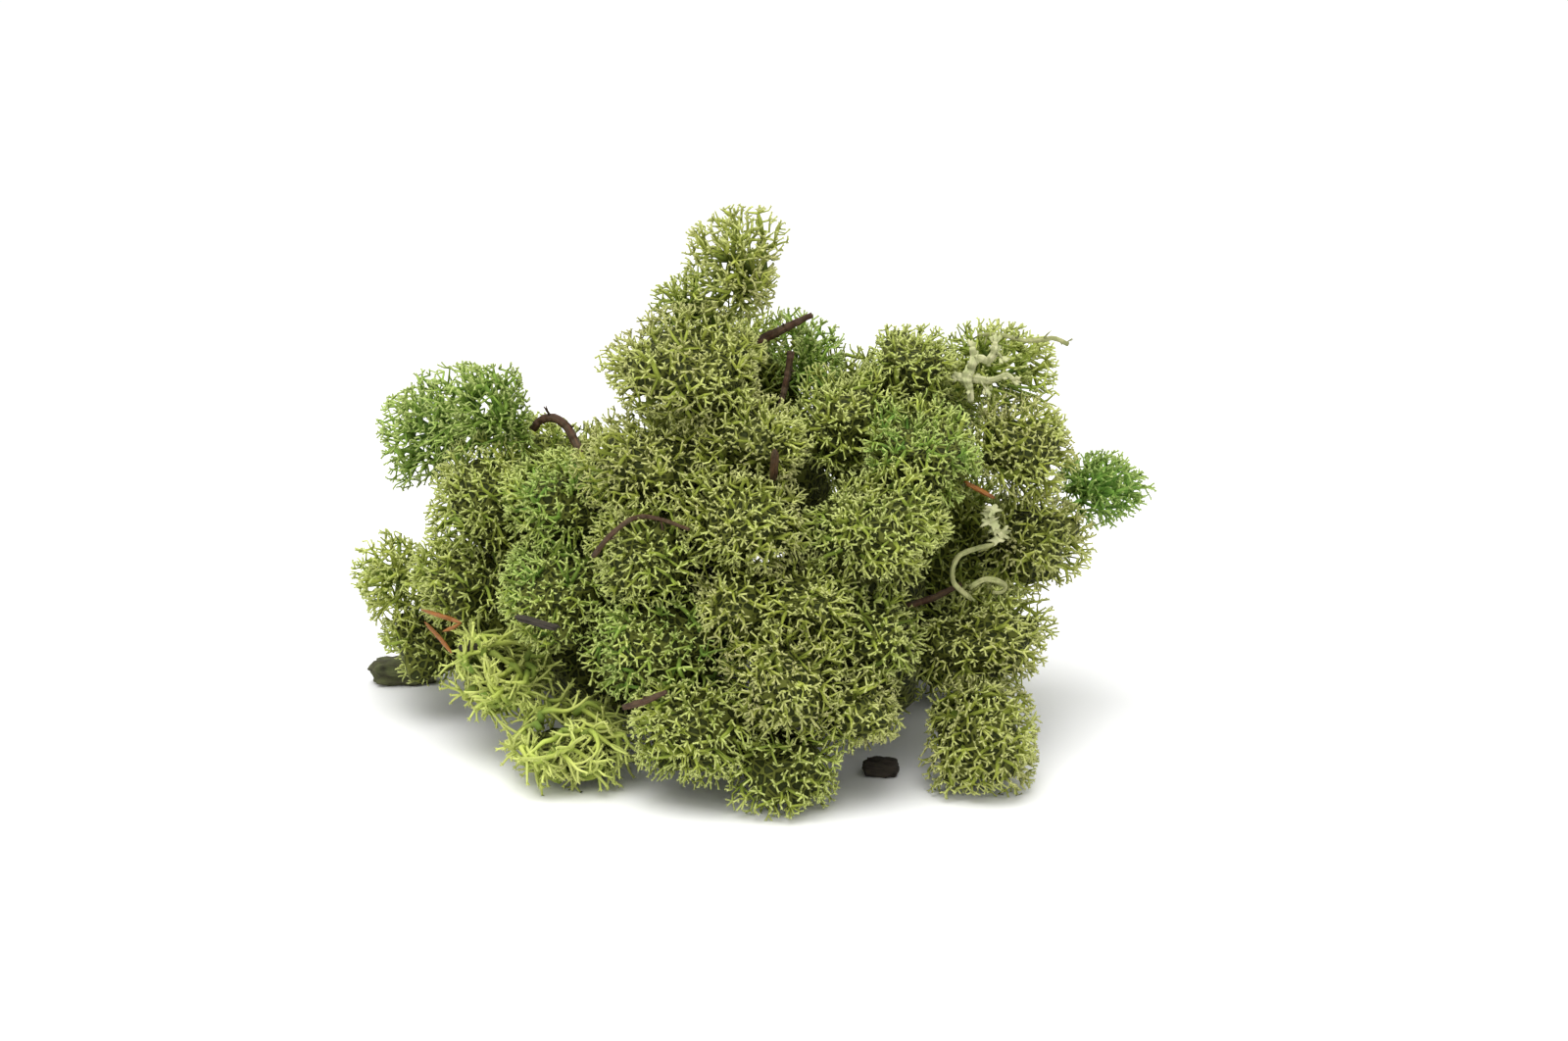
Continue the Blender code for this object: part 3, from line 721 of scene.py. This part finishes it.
def prongs_from(ends, directions, outer, kind, random):
    """The first prong of each stem's end, and the others with the stem that each starts from."""
    count = np.where(outer, random.integers(kind["prongs"][0], kind["prongs"][1] + 1, len(ends)), 1)
    side = unit(np.cross(directions, random.normal(size=ends.shape)))
    other = np.cross(directions, side)
    first_turn = random.uniform(0, 2 * math.pi, len(ends))
    places, starts = [], []
    for k in range(kind["prongs"][1]):
        chosen = np.flatnonzero(count > k)
        turn = first_turn[chosen] + 2 * math.pi * k / count[chosen]
        turn = turn + random.normal(0, PRONG_TURN_SCATTER, len(chosen))
        lean = np.radians(kind["spread"] + random.normal(0, PRONG_LEAN_SCATTER, len(chosen)))
        if k == 0:
            lean = lean * FIRST_PRONG_LEAN
        sideways = (side[chosen] * np.cos(turn)[:, None] + other[chosen] * np.sin(turn)[:, None])
        way = directions[chosen] * np.cos(lean)[:, None] + sideways * np.sin(lean)[:, None]
        length = kind["prong"] * random.uniform(*PRONG_LENGTHS, len(chosen))
        places.append(ends[chosen] + way * length[:, None])
        starts.append(chosen)
    return places, starts


def tuft_branches(tips, normals, outer, root, random):
    """The corners, faces and growth colours of a tuft's branches."""
    parents, places, counts, florets = grow(tips, normals, root, random)
    levels = len(parents)
    tint = random.uniform(*TONE_RANGE, len(places[min(FLORET_LEVEL, levels)]))
    values = []
    for age, count in zip(LEVEL_AGES, counts):
        value = np.zeros((len(count), 5))
        value[:, 0] = np.minimum(TIP_RADIUS * count ** (1 / RADIUS_POWER), THICKEST)
        value[:, 1] = age
        value[:, 4] = random.uniform(*TONE_RANGE, len(count))
        values.append(value)
    values[0][:, 0] = FINE["base"]
    values[0][:, 4] = (values[0][:, 4] + tint[florets]) / 2
    heirs = []
    for level in range(levels):
        heir = np.zeros(len(places[level + 1]), int)
        order = np.argsort(counts[level] + random.uniform(0, 0.5, len(counts[level])))
        heir[parents[level][order]] = order
        heirs.append(heir)
    stars = places[1][parents[0]]
    way = unit(places[0] - stars)
    apexes, starts = prongs_from(places[0], way, outer, FINE, random)
    sharp = values[0].copy()
    sharp[:, :2] = 0
    pieces = []
    for level in range(levels):
        heir = heirs[level]
        begins = np.flatnonzero(heir[parents[level]] != np.arange(len(parents[level])))
        if level == levels - 1:
            begins = np.arange(len(parents[level]))
        if not len(begins):
            continue
        chain = [begins]
        for below in range(level, 0, -1):
            chain.append(heirs[below - 1][chain[-1]])
        above = parents[level][begins]
        fork = values[level + 1][above]
        fork[:, 0] = values[level][begins, 0]
        points = [places[level + 1][above]] + [places[level - k][row] for k, row in enumerate(chain)]
        shades = [fork] + [values[level - k][row] for k, row in enumerate(chain)]
        points = np.stack(points + [apexes[0][chain[-1]]], axis=1)
        shades = np.stack(shades + [sharp[chain[-1]]], axis=1)
        points, shades = with_middles(points, shades, level + 1 - FIRST_CURVED_LEVEL)
        pieces.append(sweep(points, shades, LEVEL_SIDES[level], random))
    for apex, begins in zip(apexes[1:], starts[1:]):
        points = np.stack([places[0][begins], apex], axis=1)
        shades = np.stack([values[0][begins], sharp[begins]], axis=1)
        pieces.append(sweep(points, shades, PRONG_SIDES, random))
    return together(pieces)


def turned(directions, angle, random):
    """Directions turned by an angle in degrees, each to a side of its own."""
    side = unit(np.cross(directions, random.normal(size=directions.shape)))
    angle = np.radians(angle)[:, None]
    return directions * np.cos(angle) + side * np.sin(angle)


def coarse_branches(centre, half, random):
    """The corners, faces and growth colours of a coarse tuft, whose stems fork from the inside out."""
    heading = unit(random.normal(size=(COARSE_STARTS, 3)))
    start = centre + heading * half * COARSE_START_DEPTH
    heading = turned(heading, np.full(len(heading), COARSE_START_TURN), random)
    reach = random.uniform(*COARSE_REACH, (COARSE_STARTS, 1))
    waiting = [([start], 0, heading, reach)]
    pieces = []
    while waiting:
        chain, first, heading, reach = waiting.pop()
        for level in range(first, COARSE_FORKS):
            place = chain[-1]
            step = COARSE_STEP * random.uniform(*COARSE_STEP_SCATTER, (len(place), 1))
            away = (place + heading * step - centre) / half
            over = np.linalg.norm(away, axis=1, keepdims=True) > reach
            outward = unit(away / half)
            sideways = heading - outward * (heading * outward).sum(axis=1, keepdims=True)
            lift = COARSE_LIFTS[level >= COARSE_FORKS - COARSE_OUTWARD_LEVELS]
            heading = np.where(over, unit(sideways + lift * outward), heading)
            reached = place + heading * step
            chain.append(reached)
            forks = np.flatnonzero(random.uniform(size=len(reached)) < COARSE_SECOND_STEM)
            if level < COARSE_FORKS - 1 and len(forks):
                angles = random.normal(COARSE_FORK_ANGLE, COARSE_ANGLE_SCATTER, len(forks))
                fork_heading = turned(heading[forks], angles, random)
                waiting.append(([reached[forks]], level + 1, fork_heading, reach[forks]))
            heading = turned(heading, random.normal(COARSE_BEND, COARSE_ANGLE_SCATTER, len(heading)), random)
        prongs, starts = prongs_from(chain[-1], heading, np.full(len(heading), True), COARSE, random)
        points = np.stack(chain + [prongs[0]], axis=1)
        levels = np.arange(first, COARSE_FORKS + 2)
        radii = np.append(COARSE_RADII, 0.0)[levels]
        radii[0] = COARSE_RADII[min(first + 1, COARSE_FORKS)]
        ages = ((COARSE_FORKS + 1 - levels) / (COARSE_FORKS + 1)) ** COARSE_AGE_POWER
        shape = points.shape[:2]
        tint = random.uniform(*TONE_RANGE, (shape[0], 1)) * np.ones(shape)
        values = np.stack([radii * np.ones(shape), ages * np.ones(shape), 0 * tint, 0 * tint, tint], axis=2)
        points, values = with_middles(points, values, shape[1])
        pieces.append(sweep(points, values, COARSE_SIDES, random))
        for prong, begins in zip(prongs[1:], starts[1:]):
            if not len(begins):
                continue
            points = np.stack([chain[-1][begins], prong], axis=1)
            values = np.zeros((len(begins), 2, 5))
            values[:, 0, 0] = COARSE["base"]
            values[:, :, 4] = tint[begins, :2]
            pieces.append(sweep(points, values, PRONG_SIDES, random))
    return together(pieces)


def together(pieces):
    """The corners, faces and growth colours of several pieces as one."""
    offset, faces = 0, []
    for corners, piece_faces, _ in pieces:
        faces.append(piece_faces + offset)
        offset += len(corners)
    corners = np.concatenate([piece[0] for piece in pieces])
    return corners, np.concatenate(faces), np.concatenate([piece[2] for piece in pieces])


def painted_shade_core(surface, core_depth, solids, random):
    """A dark sheet deep inside a tuft, with the oldest age and the lowest tone, which paints the shade deep
    in the heap. Where no light gets in, it grows towards the next tuft.
    """
    corners, normals, faces = surface
    buried = np.zeros(len(corners))
    if solids:
        buried = np.maximum(1 - sky_shares(corners, normals, solids, random) / CORE_SKY, 0)
    depth = core_depth + random.normal(0, CORE_ROUGHNESS, len(corners))
    for index in np.flatnonzero(buried):
        start = corners[index] + RAY_START * normals[index]
        gap = solids.ray_cast(start, normals[index], WIDEST_CORE_GAP)[3]
        wanted = CLOSED_CORE_DEPTH if gap is None else -CORE_GAP_SHARE * gap
        depth[index] += buried[index] * (wanted - depth[index])
    for _ in range(CORE_SMOOTHING):
        around = np.repeat(depth[faces].mean(axis=1), 3)
        depth = group_means(around[:, None], faces.ravel(), len(depth))[:, 0]
    growth = np.zeros((len(corners), 4))
    # Oldest age and lowest tone: the darkest colour, which is painted shade
    growth[:, 0] = 1
    return corners - normals * depth[:, None], faces, growth


def placed(name, data):
    """A new object in the scene."""
    thing = bpy.data.objects.new(name, data)
    bpy.context.scene.collection.objects.link(thing)
    return thing


def joined_mesh(name, corners, faces, growth, material):
    """One object from arrays of corners in millimetres, triangles and growth colours."""
    mesh = bpy.data.meshes.new(name)
    mesh.vertices.add(len(corners))
    mesh.vertices.foreach_set("co", (corners * MM).astype(np.float32).ravel())
    mesh.loops.add(faces.size)
    mesh.loops.foreach_set("vertex_index", faces.astype(np.int32).ravel())
    mesh.polygons.add(len(faces))
    mesh.polygons.foreach_set("loop_start", np.arange(0, faces.size, 3, dtype=np.int32))
    mesh.update(calc_edges=True)
    mesh.shade_smooth()
    colours = mesh.attributes.new("growth", "FLOAT_COLOR", "POINT")
    colours.data.foreach_set("color", growth.astype(np.float32).ravel())
    mesh.materials.append(material)
    return placed(name, mesh)


def place_camera():
    """The camera at the photograph's viewing angle."""
    lens = bpy.data.cameras.new("camera")
    lens.lens = CAMERA_LENS
    lens.sensor_width = SENSOR_WIDTH
    lens.clip_start = 0.01
    camera = placed("camera", lens)
    back = Vector(TO_CAMERA)
    camera.location = (Vector(CAMERA_TARGET) + back * CAMERA_DISTANCE) * MM
    camera.rotation_euler = (-back).to_track_quat("-Z", "Y").to_euler()
    bpy.context.scene.camera = camera


def set_stage():
    """A plain white floor, white surroundings and a soft light from above and in front."""
    floor_mesh = bmesh.new()
    bmesh.ops.create_grid(floor_mesh, x_segments=1, y_segments=1, size=3)
    mesh = bpy.data.meshes.new("floor")
    floor_mesh.to_mesh(mesh)
    floor_mesh.free()
    material, tree, shader = new_material("floor_white")
    set_inputs(tree, shader, {"Base Color": FLOOR_COLOUR, "Roughness": 0.6})
    mesh.materials.append(material)
    floor = placed("floor", mesh)
    world = bpy.data.worlds.new("studio")
    world.use_nodes = True
    set_inputs(world.node_tree, world.node_tree.nodes["Background"], {"Color": (1, 1, 1, 1), "Strength": 1})
    bpy.context.scene.world = world
    bpy.context.scene.view_settings.view_transform = "Standard"
    light = bpy.data.lights.new("top_light", "AREA")
    light.shape = "SQUARE"
    light.size = LIGHT_SIZE
    light.energy = LIGHT_POWER
    lamp = placed("top_light", light)
    lamp.location = LIGHT_PLACE
    lamp.rotation_euler = (Vector(LIGHT_AIM) - Vector(LIGHT_PLACE)).to_track_quat("-Z", "Y").to_euler()


def tuft_piece(number, name, material, surface, solids, middles, halves):
    """One tuft's branches and its dark core of painted shade as one object."""
    random = np.random.default_rng(SEED + number)
    centre, half = middles[number], halves[number]
    back, middle = name.startswith(BACK_TUFTS), name.startswith(MIDDLE_TUFTS)
    if name.startswith(COARSE_TUFTS):
        pieces = [coarse_branches(centre, half, random)]
        pieces.append(painted_shade_core(surface, COARSE_CORE_DEPTH, None, random))
    else:
        outward = unit(centre - np.array(HEAP_CORE))
        root = centre - outward * ROOT_DEPTH * 2 * half.min()
        if name == "tuft_crown":
            root = centre - np.array((0, 0, half[2] - CROWN_ROOT_HEIGHT))
        spacing = BACK_SPACING if back else MIDDLE_SPACING if middle else TIP_SPACING
        merge = functools.partial(merging, own=number, middles=middles, halves=halves)
        tips, normals, outer = tuft_tips(name, surface, solids, spacing, merge, random)
        pieces = [tuft_branches(tips, normals, outer, root, random)]
        if name not in AIRY_TUFTS:
            depth = BACK_CORE_DEPTH if back else MIDDLE_CORE_DEPTH if middle else CORE_SHARE * half.min()
            pieces.append(painted_shade_core(surface, depth, solids, random))
            # The back tufts' cores get a higher tone: a lighter painted shade
            if back:
                pieces[-1][2][:, 3] = BACK_CORE_SHADE_TONE
    corners, faces, growth = together(pieces)
    dust, dye = DUSTY_TONES if name in DUSTY_TUFTS else DYED_TONES if name in DYED_TUFTS else OTHER_TONES
    growth[:, 1] = dust * np.maximum(1 - growth[:, 0] / DUSTY_DEPTH, 0)
    growth[:, 2] = dye * np.minimum(DYED_TIPS + growth[:, 0], 1) * (growth[:, 0] < UNDYED_AGE)
    corners[:, 2] = np.maximum(corners[:, 2], LOWEST)
    return joined_mesh(name.replace("tuft", "lichen"), corners, faces, growth, material)


def make_tufts(patches):
    """The branching lichen of every tuft, in place of its solid."""
    net = net_group()
    materials = {slot: lichen_material(slot, patches, net) for slot in LICHEN_COLOURS}
    slots = {part["node"]: part["material_slot"] for part in frame["record"]["subparts"]}
    names = [name for name in frame["nodes"] if name.startswith("tuft_")]
    surfaces = [rounded_surface(frame["nodes"][name]) for name in names]
    corners, faces, _ = together([(corners, faces, normals) for corners, normals, faces in surfaces])
    solids = BVHTree.FromPolygons(corners.tolist(), faces.tolist())
    boxes = np.array([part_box(name) for name in names]) / MM
    middles, halves = boxes.mean(axis=1), (boxes[:, 1] - boxes[:, 0]) / 2
    for number, name in enumerate(names):
        material = materials[slots[name]]
        piece = tuft_piece(number, name, material, surfaces[number], solids, middles, halves)
        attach(piece, "root")
        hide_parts(name)


def add_stick(mesh, points, sides, flatness=1, point_length=0):
    """Extrude a stick with uneven bark along a smooth path."""
    path = smooth_path(points, STICK_STEP)
    middles, radii = [Vector(row[:3]) for row in path], path[:, 3].copy()
    steps = np.linalg.norm(np.diff(path[:, :3], axis=0), axis=1)
    along = np.concatenate([[0], np.cumsum(steps)])
    if point_length:
        nearest_end = np.minimum(along, along[-1] - along)
        radii *= np.clip(nearest_end / point_length, 0.02, 1) ** 0.6
    headings = [(b - a).normalized() for a, b in zip(middles, middles[1:])]
    headings.append(headings[-1])
    grain = mesh.verts.layers.float_vector["grain"]
    ring = bmesh.ops.create_circle(mesh, cap_ends=True, segments=sides, radius=1)["verts"]
    turn = Vector((0, 0, 1)).rotation_difference(headings[0])
    face = ring[0].link_faces[0]
    offsets = []
    for vertex in ring:
        vertex[grain] = vertex.co
        offset = turn @ Vector((vertex.co.x, vertex.co.y * flatness, 0)) * radii[0]
        vertex.co = middles[0] + offset
        offsets.append((vertex, offset))
    for index in range(1, len(middles)):
        made = bmesh.ops.extrude_face_region(mesh, geom=[face])["geom"]
        face = next(item for item in made if isinstance(item, bmesh.types.BMFace))
        bend = headings[index - 1].rotation_difference(headings[index])
        for vertex in face.verts:
            offset = bend @ (vertex.co - middles[index - 1]) * (radii[index] / radii[index - 1])
            vertex.co = middles[index] + offset
            vertex[grain] = (vertex[grain][0], vertex[grain][1], GRAIN_STRETCH * along[index])
            offsets.append((vertex, offset))
    for vertex, offset in offsets:
        rough = noise.noise(vertex.co * 1.1) + 0.5 * noise.noise(vertex.co * 2.7)
        vertex.co += offset * STICK_ROUGHNESS * rough


def add_lobe(mesh, start, end, facing, half_width, random, detail=2):
    """A thin leafy lobe with a wavy edge, narrow where it starts."""
    grain = mesh.verts.layers.float_vector["grain"]
    start, end, facing = Vector(start), Vector(end), Vector(facing)
    axis = end - start
    length = axis.length
    axis.normalize()
    side = facing.cross(axis).normalized()
    facing = axis.cross(side)
    phase, waves = random.uniform(0, 6.28), random.uniform(0, 6.28)
    for vertex in bmesh.ops.create_icosphere(mesh, subdivisions=detail, radius=1)["verts"]:
        x, y, z = vertex.co
        around = math.atan2(y, x)
        frill = LOBE_FRILL * math.hypot(x, y)
        edge = 1 + frill * (math.sin(5 * around + phase) + 0.5 * math.sin(9 * around + waves))
        along = (x * edge + 1) / 2 * length
        across = y * edge * half_width * (0.55 + 0.45 * (x + 1) / 2)
        curl = 0.35 * math.sin(2.4 * x + phase) + 0.3 * y * math.sin(4 * x + waves)
        lift = z * LOBE_THICKNESS + half_width * curl
        vertex.co = start + axis * along + side * across + facing * (lift * min(along / length + 0.2, 1))
        vertex[grain] = (across, lift, GRAIN_STRETCH * along)


def add_chip(mesh, start, end, half_width, half_thickness):
    """A splintered chip of bark that lies along its long axis."""
    grain = mesh.verts.layers.float_vector["grain"]
    first, last = Vector(start), Vector(end)
    axis = last - first
    half_length = axis.length / 2
    axis.normalize()
    side = Vector((0, 0, 1)).cross(axis).normalized()
    above = axis.cross(side)
    bmesh.ops.create_cube(mesh, size=2)
    bmesh.ops.subdivide_edges(mesh, edges=mesh.edges[:], cuts=9, use_grid_fill=True)
    for vertex in mesh.verts:
        round_place = vertex.co.normalized() * 0.6 + vertex.co * 0.35
        along, across, out = round_place
        splinter = noise.noise(Vector((across * 2.5, out * 2.5, along * 0.6)) + first)
        crumbs = noise.noise(round_place * 3 + last)
        size = 1 + CHIP_ROUGHNESS * (0.6 * splinter + 0.4 * crumbs)
        vertex.co = (first + last) / 2 + axis * (along * half_length * (1 + 0.25 * splinter))
        vertex.co += side * (across * half_width * size) + above * (out * half_thickness * size)
        vertex[grain] = (across * half_width, out * half_thickness, GRAIN_STRETCH * along * half_length)


def litter_piece(name, mesh, materials):
    """A finished piece of litter from a mesh in millimetres, in place of its node if it has one."""
    look = LITTER_KINDS.get(name) or LITTER_KINDS[name.split("_")[0]]
    for vertex in mesh.verts:
        vertex.co.z = max(vertex.co.z, LOWEST)
    bmesh.ops.scale(mesh, vec=(MM, MM, MM), verts=mesh.verts)
    bmesh.ops.recalc_face_normals(mesh, faces=mesh.faces)
    data = bpy.data.meshes.new(name + "_detail")
    mesh.to_mesh(data)
    mesh.free()
    data.shade_smooth()
    data.materials.append(materials[look])
    piece = placed(name + "_detail", data)
    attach(piece, "root")
    if name in frame["nodes"]:
        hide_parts(name)


def new_mesh():
    """An empty bmesh with the layer that the grain follows."""
    mesh = bmesh.new()
    mesh.verts.layers.float_vector.new("grain")
    return mesh


def add_side_twigs(mesh, name, path, random):
    """The short forked twigs of one stick."""
    for share, way, length, radius in SIDE_TWIGS.get(name, ()):
        start = path[int(share * (len(path) - 1)), :3]
        way = np.array(way)
        end = start + unit(way) * length
        bend = (start + end) / 2 + random.normal(0, 0.2, 3)
        add_stick(mesh, [(*start, radius), (*bend, radius * 0.8), (*end, radius * 0.35)], SIDE_TWIG_SIDES)
        fork_end = bend + unit(way + random.normal(0, 0.5, 3)) * length * 0.5
        add_stick(mesh, [(*bend, radius * 0.7), (*fork_end, radius * 0.3)], SIDE_TWIG_SIDES)


def make_sticks(materials, random):
    """The twigs, needles and stems."""
    for name, points in STICKS.items():
        if name.endswith("_back"):
            continue
        flatness = STRAP_FLATNESS if name.startswith("strap") else 1
        point_length = NEEDLE_POINT if name.startswith("needle") else 0
        mesh = new_mesh()
        add_stick(mesh, points, STICK_SIDES, flatness, point_length)
        if name + "_back" in STICKS:
            add_stick(mesh, STICKS[name + "_back"], STICK_SIDES, flatness, point_length)
        add_side_twigs(mesh, name, smooth_path(points, STICK_STEP), random)
        litter_piece(name, mesh, materials)


def make_chips(materials):
    """The chips of bark and the crumbs."""
    for name, sizes in CHIPS.items():
        mesh = new_mesh()
        add_chip(mesh, *sizes)
        litter_piece(name, mesh, materials)


def make_antler(materials, random):
    """The flat pale fragment that forks like an antler, with small lobes along it and at its ends."""
    mesh = new_mesh()
    for path in ANTLER_PATHS:
        depths = random.normal(0, 0.25, len(path))
        rows = np.array([(x, y, z, radius) for (x, z, radius), y in zip(path, depths)])
        rows[:, :3] += ANTLER_MIDDLE
        add_stick(mesh, rows, STICK_SIDES, ANTLER_FLATNESS)
        tip = rows[-1, :3]
        way = unit(tip - rows[-2, :3])
        side = np.array((-way[2], 0, way[0]))
        for lean in (-1.0, 0.0, 1.0):
            lobe_way = unit(way + lean * side + random.normal(0, 0.25, 3))
            end = tip + lobe_way * random.uniform(0.9, 1.5)
            add_lobe(mesh, tip - way * 0.4, end, ANTLER_FACING, ANTLER_LOBE_HALF_WIDTH, random)
        for start in rows[1:-1, :3]:
            lobe_way = unit(random.normal(0, 1, 3) * (1, 0.5, 1))
            end = start + lobe_way * random.uniform(1.0, 1.5)
            add_lobe(mesh, start, end, ANTLER_FACING, ANTLER_LOBE_HALF_WIDTH, random)
    litter_piece("antler_lichen", mesh, materials)


def make_frill(materials, random):
    """The crumpled pale fragment: a row of frilled lobes."""
    mesh = new_mesh()
    start, end = np.array(FRILL_START), np.array(FRILL_END)
    for share in np.linspace(0, 1, FRILL_LOBES):
        base = start * (1 - share) + end * share
        sideways, ahead = random.uniform(-1.2, 0.8), random.uniform(-0.9, 0.1)
        way = unit(np.array((sideways, ahead, random.uniform(-0.6, 0.7))))
        lobe_end = base + way * random.uniform(1.3, 2.4)
        add_lobe(mesh, base - way * 0.8, lobe_end, FRILL_FACING, FRILL_LOBE_HALF_WIDTH, random, 3)
    litter_piece("frill_lichen", mesh, materials)


def make_litter(patches):
    """The twigs, needles, chips and pale fragments that are caught in the heap."""
    grain = grain_group()
    materials = {name: litter_material(name, patches, grain) for name in LITTER_LOOKS}
    random = np.random.default_rng(SEED)
    make_sticks(materials, random)
    make_chips(materials)
    make_antler(materials, random)
    make_frill(materials, random)


place_camera()
set_stage()
patches = patch_group()
make_tufts(patches)
make_litter(patches)
